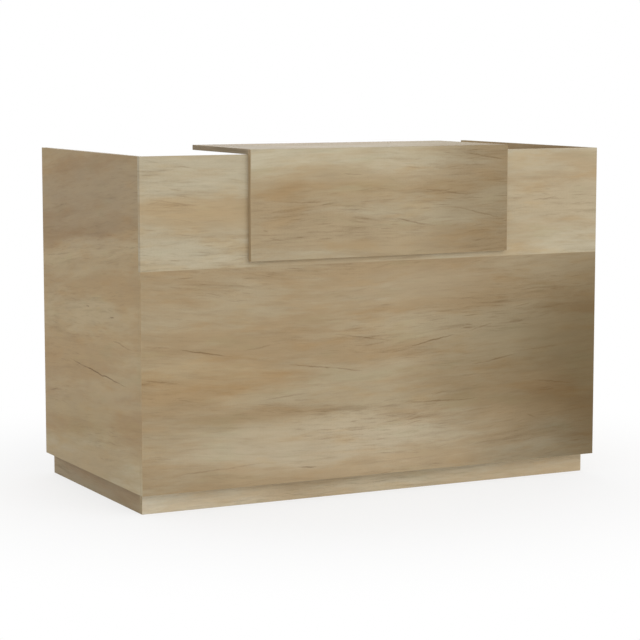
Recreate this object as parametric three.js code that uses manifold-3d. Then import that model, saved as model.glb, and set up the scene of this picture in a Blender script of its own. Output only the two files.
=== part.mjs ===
// Reception desk with a raised counter, built from laminated boards on a recessed plinth.
// Millimetres, +Z up. The visitors stand on the -Y side and the staff sit on the +Y side.
// The origin is on the floor, at the middle of the desk's overall width and depth.
import * as THREE from 'three';
import { mergeVertices } from 'three/addons/utils/BufferGeometryUtils.js';
import Module from 'manifold-3d';

// Body
const BODY_WIDTH = 1600;
const BODY_DEPTH = 835;
const BODY_HEIGHT = 1070;
const JOINT_HEIGHT = 732;
const BOARD_THICKNESS = 16;

// Plinth and the base board that rests on it
const PLINTH_HEIGHT = 64;
const PLINTH_FRONT_SETBACK = 45;
const PLINTH_BACK_SETBACK = 31;
const RAIL_THICKNESS = 16;
const SIDE_RAIL_HEIGHT = 110;
const BASE_BOARD_DEPTH = 240;

// Raised counter
const COUNTER_WIDTH = 900;
const COUNTER_DEPTH = 430;
const COUNTER_TOP_THICKNESS = 16;
const COUNTER_FRONT_THICKNESS = 16;
const COUNTER_FRONT_REVEAL = 18;
const SUPPORT_SPACING = 600;
const SUPPORT_DEPTH = 270;

// Worktop and its bearers
const WORKTOP_HEIGHT = 725;
const WORKTOP_THICKNESS = 25;
const WORKTOP_BACK_SETBACK = 20;
const BEARER_WIDTH = 25;
const BEARER_HEIGHT = 45;
const FRONT_BEARER_END_GAP = 84;
const SIDE_BEARER_LENGTH = 620;
const SIDE_BEARER_BACK_SETBACK = 80;

// Corner brackets: above the base board, below the worktop's bearers and below the top of the body
const BRACKET_LEG = 40;
const BRACKET_THICKNESS = 2.5;
const BRACKET_HEIGHT = 60;
const BRACKET_LOW_INSET = 90;
const BRACKET_MIDDLE_INSET = 65;
const BRACKET_HIGH_INSET = 140;

// Dowels
const DOWEL_DIAMETER = 8;
const DOWEL_LENGTH = 30;
const DOWEL_CHAMFER = 1;
const FRONT_DOWEL_COUNT = 4;
const FRONT_DOWEL_END_INSET = 170;
const SUPPORT_DOWEL_INSET = 50;
const COUNTER_DOWEL_DEPTH = 10;

// Countersunk screws that hold the counter front
const SCREW_LENGTH = 27;
const SCREW_DIAMETER = 4;
const SCREW_HEAD_DIAMETER = 8;
const SCREW_HEAD_DEPTH = 2.5;
const SCREW_TIP_LENGTH = 4;
const SCREW_SIDE_INSET = 120;
const SCREW_LOW_INSET = 70;
const SCREW_HIGH_INSET = 70;

// Cable grommets
const GROMMET_SIDE_INSET = 244;
const GROMMET_FRONT_INSET = 90;
const GROMMET_HOLE_DIAMETER = 80;
const SLEEVE_WALL = 3.2;
const SLEEVE_DEPTH = 22;
const FLANGE_DIAMETER = 90;
const FLANGE_HEIGHT = 3;
const LEDGE_WIDTH = 1.8;
const LEDGE_HEIGHT = 0.6;
const CAP_SKIRT_DEPTH = 8;
const CAP_SKIRT_WALL = 2;
const CABLE_SLOT_WIDTH = 34;
const CABLE_SLOT_DEPTH = 27;

// Levelling feet
const FOOT_BLOCK_SIDE = 44;
const FOOT_BACK_INSET = 10;
const FOOT_FLOOR_GAP = 1;
const PAD_DIAMETER = 38;
const PAD_TOP_DIAMETER = 28;
const PAD_RIM = 3;
const PAD_HEIGHT = 8;
const PAD_SOCKET_DEPTH = 4;
const STEM_DIAMETER = 10;
const STEM_TOP_INSET = 5;
const COLLAR_ACROSS_FLATS = 17;
const COLLAR_HEIGHT = 6;
const COLLAR_RISE = 3;
const COLLAR_HEADROOM = 6;
const STEM_SLOT_WIDTH = 1.6;
const STEM_SLOT_DEPTH = 3;

// Clearances: round a piece in its hole, and under a turned or bent piece on its seat
const HOLE_GAP = 0.3;
const SEAT_GAP = 0.2;

const SMALL_ROUND_SIDES = 16;
const FOOT_ROUND_SIDES = 32;
const GROMMET_ROUND_SIDES = 40;

// Planes of the body, measured from the visitor face of the front panels and from the middle of the width
const halfWidth = BODY_WIDTH / 2;
const insideHalfWidth = halfWidth - BOARD_THICKNESS;
const insideFront = BOARD_THICKNESS;
const plinthHalfWidth = insideHalfWidth;
const plinthInsideHalfWidth = plinthHalfWidth - RAIL_THICKNESS;
const plinthInsideFront = PLINTH_FRONT_SETBACK + RAIL_THICKNESS;
const plinthBack = BODY_DEPTH - PLINTH_BACK_SETBACK;
const counterHalfWidth = COUNTER_WIDTH / 2;
const counterTopHeight = BODY_HEIGHT + COUNTER_TOP_THICKNESS;
const counterFrontBottom = JOINT_HEIGHT + COUNTER_FRONT_REVEAL;
const worktopUnderside = WORKTOP_HEIGHT - WORKTOP_THICKNESS;
const bearerBottom = worktopUnderside - BEARER_HEIGHT;
const baseTop = PLINTH_HEIGHT + BOARD_THICKNESS;
const sides = { left: -1, right: 1 };

const wasm = await Module();
wasm.setup();

// A closed mesh as a solid: shared vertices merged, needle triangles at a turned shape's axis left out
function solidOf(geometry) {
  const bare = geometry.clone();
  bare.deleteAttribute('normal');
  bare.deleteAttribute('uv');
  const merged = mergeVertices(bare);
  const index = merged.index.array;
  const corners = [];
  for (let i = 0; i < index.length; i += 3) {
    const [a, b, c] = [index[i], index[i + 1], index[i + 2]];
    if (a !== b && b !== c && c !== a) corners.push(a, b, c);
  }
  return new wasm.Manifold(new wasm.Mesh({
    numProp: 3,
    vertProperties: new Float32Array(merged.attributes.position.array),
    triVerts: new Uint32Array(corners),
  }));
}

function geometryOf(solid) {
  const mesh = solid.getMesh();
  const geometry = new THREE.BufferGeometry();
  geometry.setAttribute('position', new THREE.BufferAttribute(mesh.vertProperties, 3));
  geometry.setIndex(new THREE.BufferAttribute(mesh.triVerts, 1));
  geometry.computeVertexNormals();
  return geometry;
}

function cutBy(geometry, tools) {
  let solid = solidOf(geometry);
  for (const tool of tools) solid = solid.subtract(solidOf(tool));
  return geometryOf(solid);
}

// A square-edged board between two corners
function board(low, high) {
  const lowCorner = new THREE.Vector3(...low);
  const highCorner = new THREE.Vector3(...high);
  const size = highCorner.clone().sub(lowCorner);
  const centre = lowCorner.clone().add(highCorner).divideScalar(2);
  const place = new THREE.Matrix4().makeTranslation(centre).scale(size);
  return new THREE.BoxGeometry(1, 1, 1).applyMatrix4(place);
}

// A shape turned about the Z axis from [radius, height] points
function turned(profile, segments) {
  const points = profile.map(([radius, height]) => new THREE.Vector2(radius, height));
  return new THREE.LatheGeometry(points, segments).rotateX(Math.PI / 2);
}

// A board outline extruded upwards from z = 0
function extrudedUp(shape, height, curveSegments) {
  return new THREE.ExtrudeGeometry(shape, { depth: height, bevelEnabled: false, curveSegments });
}

function laminate(color) {
  return new THREE.MeshStandardMaterial({ color, roughness: 0.55, metalness: 0 });
}

function zincSteel() {
  return new THREE.MeshStandardMaterial({ color: 0xb4b6b8, roughness: 0.4, metalness: 1 });
}

function blackPlastic() {
  return new THREE.MeshStandardMaterial({ color: 0x2a2a2b, roughness: 0.6, metalness: 0 });
}

function beech() {
  return new THREE.MeshStandardMaterial({ color: 0xcfa97a, roughness: 0.7, metalness: 0 });
}

const OAK = 0xb8a37c;
const OAK_END = 0xaa9670;
const OAK_LOW = 0xa8936c;
const OAK_PLINTH = 0xc2ae86;

const desk = new THREE.Group();

function add(name, geometry, material, place = [0, 0, 0]) {
  const mesh = new THREE.Mesh(geometry, material);
  mesh.name = name;
  mesh.position.set(...place);
  desk.add(mesh);
}

// Dowels: a chamfered peg, and the hole that it needs in both of the boards it joins
function dowelGeometry() {
  const radius = DOWEL_DIAMETER / 2;
  const half = DOWEL_LENGTH / 2;
  return turned([
    [0, -half],
    [radius - DOWEL_CHAMFER, -half],
    [radius, -half + DOWEL_CHAMFER],
    [radius, half - DOWEL_CHAMFER],
    [radius - DOWEL_CHAMFER, half],
    [0, half],
  ], SMALL_ROUND_SIDES);
}

function dowelHole([x, y, z]) {
  const radius = DOWEL_DIAMETER / 2 + HOLE_GAP;
  const half = DOWEL_LENGTH / 2 + HOLE_GAP;
  const hole = turned([[0, -half], [radius, -half], [radius, half], [0, half]], SMALL_ROUND_SIDES);
  return hole.translate(x, y, z);
}

const frontDowels = [];
const frontDowelReach = halfWidth - FRONT_DOWEL_END_INSET;
const frontDowelSpacing = 2 * frontDowelReach / (FRONT_DOWEL_COUNT - 1);
for (let i = 0; i < FRONT_DOWEL_COUNT; i += 1) {
  const x = i * frontDowelSpacing - frontDowelReach;
  frontDowels.push([x, BOARD_THICKNESS / 2, JOINT_HEIGHT]);
}

const supportBack = insideFront + SUPPORT_DEPTH;
const supportDowelRows = [insideFront + SUPPORT_DOWEL_INSET, supportBack - SUPPORT_DOWEL_INSET];
const counterDowelCentre = BODY_HEIGHT + COUNTER_DOWEL_DEPTH - DOWEL_LENGTH / 2;
const supportX = SUPPORT_SPACING / 2;

function supportDowels(sign, height) {
  return supportDowelRows.map((y) => [sign * supportX, y, height]);
}

// Screws: driven from the staff side, head flush with the back of the upper front panel, point towards -Y
function screwGeometry(gap) {
  const shank = SCREW_DIAMETER / 2 + gap;
  const head = SCREW_HEAD_DIAMETER / 2 + gap;
  const end = -SCREW_LENGTH - gap;
  return turned([
    [0, end],
    [shank, end + SCREW_TIP_LENGTH],
    [shank, -SCREW_HEAD_DEPTH - gap],
    [head, 0],
    [0, 0],
  ], SMALL_ROUND_SIDES).rotateX(-Math.PI / 2);
}

const screwLowHeight = counterFrontBottom + SCREW_LOW_INSET;
const screwHighHeight = BODY_HEIGHT - SCREW_HIGH_INSET;
const screwPlaces = [];
for (const height of [screwLowHeight, screwHighHeight]) {
  for (const sign of Object.values(sides)) {
    screwPlaces.push([sign * (counterHalfWidth - SCREW_SIDE_INSET), insideFront, height]);
  }
}

function screwHoles() {
  return screwPlaces.map(([x, y, z]) => screwGeometry(HOLE_GAP).translate(x, y, z));
}

// Plinth: a front rail on the floor, with a taller rail behind it on the inside of each end panel
add('plinth_front_rail', board(
  [-plinthHalfWidth, PLINTH_FRONT_SETBACK, 0],
  [plinthHalfWidth, plinthInsideFront, PLINTH_HEIGHT],
), laminate(OAK_PLINTH));

for (const [side, sign] of Object.entries(sides)) {
  const edges = [sign * plinthHalfWidth, sign * plinthInsideHalfWidth];
  add(`plinth_${side}_rail`, board(
    [Math.min(...edges), plinthInsideFront, 0],
    [Math.max(...edges), plinthBack, SIDE_RAIL_HEIGHT],
  ), laminate(OAK_PLINTH));
}

// Base board: lies on the front rail behind the lower front panel, notched round the side rails
const baseBack = insideFront + BASE_BOARD_DEPTH;
const baseOutline = new THREE.Shape([
  [-insideHalfWidth, insideFront],
  [insideHalfWidth, insideFront],
  [insideHalfWidth, plinthInsideFront],
  [plinthInsideHalfWidth, plinthInsideFront],
  [plinthInsideHalfWidth, baseBack],
  [-plinthInsideHalfWidth, baseBack],
  [-plinthInsideHalfWidth, plinthInsideFront],
  [-insideHalfWidth, plinthInsideFront],
].map(([x, y]) => new THREE.Vector2(x, y)));
add('base_board', extrudedUp(baseOutline, BOARD_THICKNESS, 1).translate(0, 0, PLINTH_HEIGHT), laminate(OAK));

// End panels stand behind the ends of the front panels
for (const [side, sign] of Object.entries(sides)) {
  const edges = [sign * halfWidth, sign * insideHalfWidth];
  add(`${side}_end_panel`, board(
    [Math.min(...edges), insideFront, PLINTH_HEIGHT],
    [Math.max(...edges), BODY_DEPTH, BODY_HEIGHT],
  ), laminate(OAK_END));
}

// Front panels run the full width, one on top of the other, and are dowelled together
const lowerFront = board([-halfWidth, 0, PLINTH_HEIGHT], [halfWidth, BOARD_THICKNESS, JOINT_HEIGHT]);
add('lower_front_panel', cutBy(lowerFront, frontDowels.map(dowelHole)), laminate(OAK_LOW));

const upperFront = board([-halfWidth, 0, JOINT_HEIGHT], [halfWidth, BOARD_THICKNESS, BODY_HEIGHT]);
const upperFrontCuts = [...frontDowels.map(dowelHole), ...screwHoles()];
add('upper_front_panel', cutBy(upperFront, upperFrontCuts), laminate(OAK));

frontDowels.forEach((place, i) => add(`front_joint_dowel_${i + 1}`, dowelGeometry(), beech(), place));

// Corner brackets: bent steel angles that join each front panel to the end panels
const bracketOutline = new THREE.Shape([
  [0, 0],
  [BRACKET_LEG, 0],
  [BRACKET_LEG, BRACKET_THICKNESS],
  [BRACKET_THICKNESS, BRACKET_THICKNESS],
  [BRACKET_THICKNESS, BRACKET_LEG],
  [0, BRACKET_LEG],
].map(([x, y]) => new THREE.Vector2(x, y)));
const quarterTurns = { left: 0, right: Math.PI / 2 };
const bracketBottoms = {
  low: baseTop + BRACKET_LOW_INSET,
  middle: bearerBottom - BRACKET_MIDDLE_INSET - BRACKET_HEIGHT,
  high: BODY_HEIGHT - BRACKET_HIGH_INSET - BRACKET_HEIGHT,
};
for (const [side, sign] of Object.entries(sides)) {
  for (const [level, bottom] of Object.entries(bracketBottoms)) {
    const bracket = extrudedUp(bracketOutline, BRACKET_HEIGHT, 1).rotateZ(quarterTurns[side]);
    const place = [sign * (insideHalfWidth - SEAT_GAP), insideFront + SEAT_GAP, bottom];
    add(`corner_bracket_${side}_${level}`, bracket, zincSteel(), place);
  }
}

// Worktop: lies on bearers between the end panels, with two cable holes and the dowel holes of the supports
const grommetX = insideHalfWidth - GROMMET_SIDE_INSET;
const grommetY = insideFront + GROMMET_FRONT_INSET;
const worktopCuts = [];
for (const sign of Object.values(sides)) {
  const hole = new THREE.CylinderGeometry(
    GROMMET_HOLE_DIAMETER / 2,
    GROMMET_HOLE_DIAMETER / 2,
    WORKTOP_THICKNESS * 2,
    GROMMET_ROUND_SIDES,
  );
  hole.rotateX(Math.PI / 2).translate(sign * grommetX, grommetY, WORKTOP_HEIGHT - WORKTOP_THICKNESS / 2);
  worktopCuts.push(hole, ...supportDowels(sign, WORKTOP_HEIGHT).map(dowelHole));
}
const worktop = board(
  [-insideHalfWidth, insideFront, worktopUnderside],
  [insideHalfWidth, BODY_DEPTH - WORKTOP_BACK_SETBACK, WORKTOP_HEIGHT],
);
add('worktop', cutBy(worktop, worktopCuts), laminate(OAK));

const frontBearerEnd = insideHalfWidth - FRONT_BEARER_END_GAP;
add('worktop_bearer_front', board(
  [-frontBearerEnd, insideFront, bearerBottom],
  [frontBearerEnd, insideFront + BEARER_WIDTH, worktopUnderside],
), beech());

const sideBearerBack = BODY_DEPTH - SIDE_BEARER_BACK_SETBACK;
for (const [side, sign] of Object.entries(sides)) {
  const edges = [sign * insideHalfWidth, sign * (insideHalfWidth - BEARER_WIDTH)];
  add(`worktop_bearer_${side}`, board(
    [Math.min(...edges), sideBearerBack - SIDE_BEARER_LENGTH, bearerBottom],
    [Math.max(...edges), sideBearerBack, worktopUnderside],
  ), beech());
}

// Supports: upright boards between the worktop and the counter top, dowelled to both
for (const [side, sign] of Object.entries(sides)) {
  const centre = sign * supportX;
  const upright = board(
    [centre - BOARD_THICKNESS / 2, insideFront, WORKTOP_HEIGHT],
    [centre + BOARD_THICKNESS / 2, supportBack, BODY_HEIGHT],
  );
  const feet = supportDowels(sign, WORKTOP_HEIGHT);
  const heads = supportDowels(sign, counterDowelCentre);
  add(`counter_support_${side}`, cutBy(upright, [...feet, ...heads].map(dowelHole)), laminate(OAK));
  feet.forEach((place, i) => add(`support_foot_dowel_${side}_${i + 1}`, dowelGeometry(), beech(), place));
  heads.forEach((place, i) => add(`support_head_dowel_${side}_${i + 1}`, dowelGeometry(), beech(), place));
}

// Raised counter: the top lies on the upper front panel and the supports, the front hangs before its edge
const counterTop = board(
  [-counterHalfWidth, 0, BODY_HEIGHT],
  [counterHalfWidth, COUNTER_DEPTH - COUNTER_FRONT_THICKNESS, counterTopHeight],
);
const counterDowels = Object.values(sides).flatMap((sign) => supportDowels(sign, counterDowelCentre));
add('counter_top', cutBy(counterTop, counterDowels.map(dowelHole)), laminate(OAK));

const counterFront = board(
  [-counterHalfWidth, -COUNTER_FRONT_THICKNESS, counterFrontBottom],
  [counterHalfWidth, 0, counterTopHeight],
);
add('counter_front', cutBy(counterFront, screwHoles()), laminate(OAK));

screwPlaces.forEach((place, i) => add(`counter_front_screw_${i + 1}`, screwGeometry(0), zincSteel(), place));

// Cable grommets: a flanged sleeve in the worktop, and a cap that turns on the ledge inside the flange
const sleeveOuter = GROMMET_HOLE_DIAMETER / 2 - HOLE_GAP;
const sleeveInner = sleeveOuter - SLEEVE_WALL;
const capSeat = sleeveInner + LEDGE_WIDTH;
const flangeRadius = FLANGE_DIAMETER / 2;
const flangeEase = FLANGE_HEIGHT / 3;

function sleeveGeometry() {
  return turned([
    [sleeveInner, -SLEEVE_DEPTH],
    [sleeveOuter, -SLEEVE_DEPTH],
    [sleeveOuter, SEAT_GAP],
    [flangeRadius, SEAT_GAP],
    [flangeRadius, FLANGE_HEIGHT - flangeEase],
    [flangeRadius - flangeEase, FLANGE_HEIGHT],
    [capSeat, FLANGE_HEIGHT],
    [capSeat, LEDGE_HEIGHT],
    [sleeveInner, LEDGE_HEIGHT],
    [sleeveInner, -SLEEVE_DEPTH],
  ], GROMMET_ROUND_SIDES);
}

function capGeometry() {
  const plateRadius = capSeat - HOLE_GAP;
  const skirtOuter = sleeveInner - HOLE_GAP;
  const skirtInner = skirtOuter - CAP_SKIRT_WALL;
  const plateBottom = LEDGE_HEIGHT + HOLE_GAP;
  const skirtBottom = LEDGE_HEIGHT - CAP_SKIRT_DEPTH;
  const plate = turned([
    [0, plateBottom],
    [skirtInner, plateBottom],
    [skirtInner, skirtBottom],
    [skirtOuter, skirtBottom],
    [skirtOuter, plateBottom],
    [plateRadius, plateBottom],
    [plateRadius, FLANGE_HEIGHT],
    [0, FLANGE_HEIGHT],
  ], GROMMET_ROUND_SIDES);
  const slotRadius = CABLE_SLOT_WIDTH / 2;
  const slotCentre = plateRadius - CABLE_SLOT_DEPTH + slotRadius;
  const slot = new THREE.Shape();
  slot.moveTo(-slotRadius, flangeRadius);
  slot.lineTo(-slotRadius, slotCentre);
  slot.absarc(0, slotCentre, slotRadius, Math.PI, 2 * Math.PI, false);
  slot.lineTo(slotRadius, flangeRadius);
  const slotTool = extrudedUp(slot, FLANGE_HEIGHT * 2 + CAP_SKIRT_DEPTH * 2, SMALL_ROUND_SIDES / 2);
  return cutBy(plate, [slotTool.translate(0, 0, -CAP_SKIRT_DEPTH * 2)]);
}

for (const [side, sign] of Object.entries(sides)) {
  const place = [sign * grommetX, grommetY, WORKTOP_HEIGHT];
  add(`grommet_sleeve_${side}`, sleeveGeometry(), blackPlastic(), place);
  add(`grommet_cap_${side}`, capGeometry(), blackPlastic(), place);
}

// Levelling feet: a bored block in each plinth corner, a threaded stem with a hexagon collar, and a pad
const footX = plinthInsideHalfWidth - FOOT_BLOCK_SIDE / 2;
const footRows = {
  front: plinthInsideFront + FOOT_BLOCK_SIDE / 2,
  back: plinthBack - FOOT_BACK_INSET - FOOT_BLOCK_SIDE / 2,
};
const stemRadius = STEM_DIAMETER / 2;
const stemBottom = PAD_HEIGHT - PAD_SOCKET_DEPTH + HOLE_GAP;
const stemTop = PLINTH_HEIGHT - STEM_TOP_INSET - FOOT_FLOOR_GAP;
const collarBottom = PAD_HEIGHT + COLLAR_RISE;
const footBlockBottom = FOOT_FLOOR_GAP + collarBottom + COLLAR_HEIGHT + COLLAR_HEADROOM;

function footBlock(x, y) {
  const half = FOOT_BLOCK_SIDE / 2;
  const block = board([x - half, y - half, footBlockBottom], [x + half, y + half, PLINTH_HEIGHT]);
  const bore = new THREE.CylinderGeometry(
    stemRadius + HOLE_GAP,
    stemRadius + HOLE_GAP,
    PLINTH_HEIGHT * 2,
    FOOT_ROUND_SIDES,
  );
  bore.rotateX(Math.PI / 2).translate(x, y, PLINTH_HEIGHT / 2);
  return cutBy(block, [bore]);
}

function padGeometry() {
  const socketRadius = stemRadius + HOLE_GAP;
  return turned([
    [0, 0],
    [PAD_DIAMETER / 2, 0],
    [PAD_DIAMETER / 2, PAD_RIM],
    [PAD_TOP_DIAMETER / 2, PAD_HEIGHT],
    [socketRadius, PAD_HEIGHT],
    [socketRadius, PAD_HEIGHT - PAD_SOCKET_DEPTH],
    [0, PAD_HEIGHT - PAD_SOCKET_DEPTH],
  ], FOOT_ROUND_SIDES);
}

function stemGeometry() {
  const rod = new THREE.CylinderGeometry(stemRadius, stemRadius, stemTop - stemBottom, FOOT_ROUND_SIDES);
  rod.rotateX(Math.PI / 2).translate(0, 0, (stemBottom + stemTop) / 2);
  const collarRadius = COLLAR_ACROSS_FLATS / 2 / Math.cos(Math.PI / 6);
  const collar = new THREE.CylinderGeometry(collarRadius, collarRadius, COLLAR_HEIGHT, 6);
  collar.rotateX(Math.PI / 2).translate(0, 0, collarBottom + COLLAR_HEIGHT / 2);
  const slot = board(
    [-STEM_DIAMETER, -STEM_SLOT_WIDTH / 2, stemTop - STEM_SLOT_DEPTH],
    [STEM_DIAMETER, STEM_SLOT_WIDTH / 2, stemTop + STEM_SLOT_DEPTH],
  );
  return geometryOf(solidOf(rod).add(solidOf(collar)).subtract(solidOf(slot)));
}

for (const [row, y] of Object.entries(footRows)) {
  for (const [side, sign] of Object.entries(sides)) {
    const place = [sign * footX, y, FOOT_FLOOR_GAP];
    add(`foot_block_${row}_${side}`, footBlock(sign * footX, y), beech());
    add(`foot_pad_${row}_${side}`, padGeometry(), blackPlastic(), place);
    add(`foot_stem_${row}_${side}`, stemGeometry(), zincSteel(), place);
  }
}

// The body is drawn from its visitor face, so the whole desk moves to put its middle over the origin
desk.position.y = (COUNTER_FRONT_THICKNESS - BODY_DEPTH) / 2;

export default desk;
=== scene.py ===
import math

import bmesh
import bpy
from mathutils import Matrix, Vector


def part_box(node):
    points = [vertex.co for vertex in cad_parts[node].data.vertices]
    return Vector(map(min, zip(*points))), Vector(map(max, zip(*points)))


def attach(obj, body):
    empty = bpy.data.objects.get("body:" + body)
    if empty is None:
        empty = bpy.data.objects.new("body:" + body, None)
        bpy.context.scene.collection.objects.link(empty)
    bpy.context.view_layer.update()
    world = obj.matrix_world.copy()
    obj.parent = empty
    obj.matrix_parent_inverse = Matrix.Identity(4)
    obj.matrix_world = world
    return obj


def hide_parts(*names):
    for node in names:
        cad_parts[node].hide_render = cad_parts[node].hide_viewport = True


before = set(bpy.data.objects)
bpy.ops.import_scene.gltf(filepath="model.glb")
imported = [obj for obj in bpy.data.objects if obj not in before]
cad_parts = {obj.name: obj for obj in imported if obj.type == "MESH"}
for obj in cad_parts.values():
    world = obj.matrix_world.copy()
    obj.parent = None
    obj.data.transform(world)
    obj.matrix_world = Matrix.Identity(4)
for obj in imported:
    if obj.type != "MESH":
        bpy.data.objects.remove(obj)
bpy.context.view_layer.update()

# Plinth: three rails of laminated board on edge, set back under the body as a toe space.
# The front rail runs across the desk and the side rails are screwed to the end panels behind it.
# The boards are chipboard with a printed oak paper face and a thin band glued on each cut edge.


class Shade:
    """A shader socket that takes part in plain sums."""

    def __init__(self, tree, socket=None):
        self.tree = tree
        self.socket = socket

    def node(self, kind, settings, inputs, output=0):
        """Adds a node with its settings, and then the values or links of its inputs."""
        made = self.tree.nodes.new(kind)
        for name, value in settings.items():
            setattr(made, name, value)
        for key, value in inputs.items():
            if isinstance(value, Shade):
                self.tree.links.new(value.socket, made.inputs[key])
            else:
                made.inputs[key].default_value = value
        return Shade(self.tree, made.outputs[output])

    def outputs(self):
        """All outputs of this socket's node, by name."""
        return {out.name: Shade(self.tree, out) for out in self.socket.node.outputs}

    def math(self, operation, *values):
        return self.node("ShaderNodeMath", {"operation": operation}, dict(enumerate(values)))

    def __add__(self, other):
        return self.math("ADD", self, other)

    def __sub__(self, other):
        return self.math("SUBTRACT", self, other)

    def __rsub__(self, other):
        return self.math("SUBTRACT", other, self)

    def __mul__(self, other):
        return self.math("MULTIPLY", self, other)

    def __truediv__(self, other):
        return self.math("DIVIDE", self, other)

    def __pow__(self, other):
        return self.math("POWER", self, other)

    def __lt__(self, other):
        return self.math("LESS_THAN", self, other)

    def __abs__(self):
        return self.math("ABSOLUTE", self)

    __radd__ = __add__
    __rmul__ = __mul__

    def least(self, other):
        return self.math("MINIMUM", self, other)

    def most(self, other):
        return self.math("MAXIMUM", self, other)

    def eased(self, start, end):
        """0 at start and 1 at end, with a soft step between them."""
        return self.node("ShaderNodeMapRange", {"interpolation_type": "SMOOTHSTEP"},
                         {"Value": self, "From Min": start, "From Max": end})

    def point(self, x, y, z):
        return self.node("ShaderNodeCombineXYZ", {}, {"X": x, "Y": y, "Z": z})

    def parts(self):
        """The three parts of a vector or a colour."""
        return list(self.node("ShaderNodeSeparateXYZ", {}, {"Vector": self}).outputs().values())

    def cloud(self, x, y, z, detail=2.0, roughness=0.5):
        """Soft noise from 0 to 1 at a point."""
        return self.node("ShaderNodeTexNoise", {}, {
            "Vector": self.point(x, y, z), "Scale": 1.0, "Detail": detail, "Roughness": roughness})

    def mix(self, low, high):
        """Two colours mixed with this value as the share of the second."""
        return self.node("ShaderNodeMix", {"data_type": "RGBA"}, {0: self, 6: low, 7: high}, 2)

    def tint(self, color, amount):
        """This colour times another, by an amount."""
        return self.node("ShaderNodeMix", {"data_type": "RGBA", "blend_type": "MULTIPLY"},
                         {0: amount, 6: self, 7: color}, 2)


def srgb(red, green, blue):
    """A colour as it is seen on a screen, from 0 to 255, in the linear values that shaders use."""
    def linear(level):
        level /= 255
        return level / 12.92 if level <= 0.04045 else ((level + 0.055) / 1.055) ** 2.4
    return (linear(red), linear(green), linear(blue), 1.0)


def new_finish(name):
    """A new material, its shader, and the place on the piece, which also draws the next nodes."""
    material = bpy.data.materials.new(name)
    material.use_nodes = True
    shader = material.node_tree.nodes["Principled BSDF"]
    place = Shade(material.node_tree).node("ShaderNodeTexCoord", {}, {}, "Object")
    return material, shader, place


def feed(shader, color, roughness, height, depth):
    """Connects colour, roughness and a bump of the given depth in metres."""
    bump = color.node("ShaderNodeBump", {}, {"Height": height, "Strength": 1.0, "Distance": depth})
    for socket, value in (("Base Color", color), ("Roughness", roughness), ("Normal", bump)):
        color.tree.links.new(value.socket, shader.inputs[socket])


def ticks(pen, along, across, cell, size, share, slope, seed):
    """Short dark marks along the grain, one at most in each cell, of random length and slope."""
    spot = pen.point(along / cell[0] + seed, across / cell[1], 0.0)
    cells = pen.node("ShaderNodeTexVoronoi", {"voronoi_dimensions": "2D"},
                     {"Vector": spot, "Scale": 1.0}).outputs()
    chance, stretch, lean = cells["Color"].parts()
    away = pen.node("ShaderNodeVectorMath", {"operation": "SUBTRACT"},
                    {0: spot, 1: cells["Position"]})
    x, y, _ = away.parts()
    x = x * cell[0]
    y = y * cell[1] - x * ((lean - 0.5) * slope)
    reach = x / (size[0] * (0.35 + 0.65 * stretch))
    taper = (1 - reach * reach).most(0.0)
    return (taper - abs(y) / size[1]).most(0.0) * (chance < share)


OAK_GREY = srgb(181, 166, 137)
OAK_TAN = srgb(173, 152, 119)
OAK_DARK = srgb(104, 80, 50)
OAK_GLOSS = 0.1
CRACK_HALF_WIDTH = 0.0034
WORN_RIM = 0.006
PRINT_DEPTH, BAND_DEPTH = 0.0004, 0.0003


def cracks(along, across, wander, splits):
    """Fine lines from one place to another, widest in the middle, or None without any."""
    crack = None
    for (u0, v0), (u1, v1), depth in splits:
        run = math.hypot(u1 - u0, v1 - v0)
        du, dv = (u1 - u0) / run, (v1 - v0) / run
        share = ((along - u0) * du + (across - v0) * dv) / run
        off = abs((across - v0) * du - (along - u0) * dv + wander)
        width = (share * (1 - share) * 4).most(0.0) ** 0.5
        line = (width - off / CRACK_HALF_WIDTH).most(0.0) * depth
        crack = line if crack is None else crack.most(line)
    return crack


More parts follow.
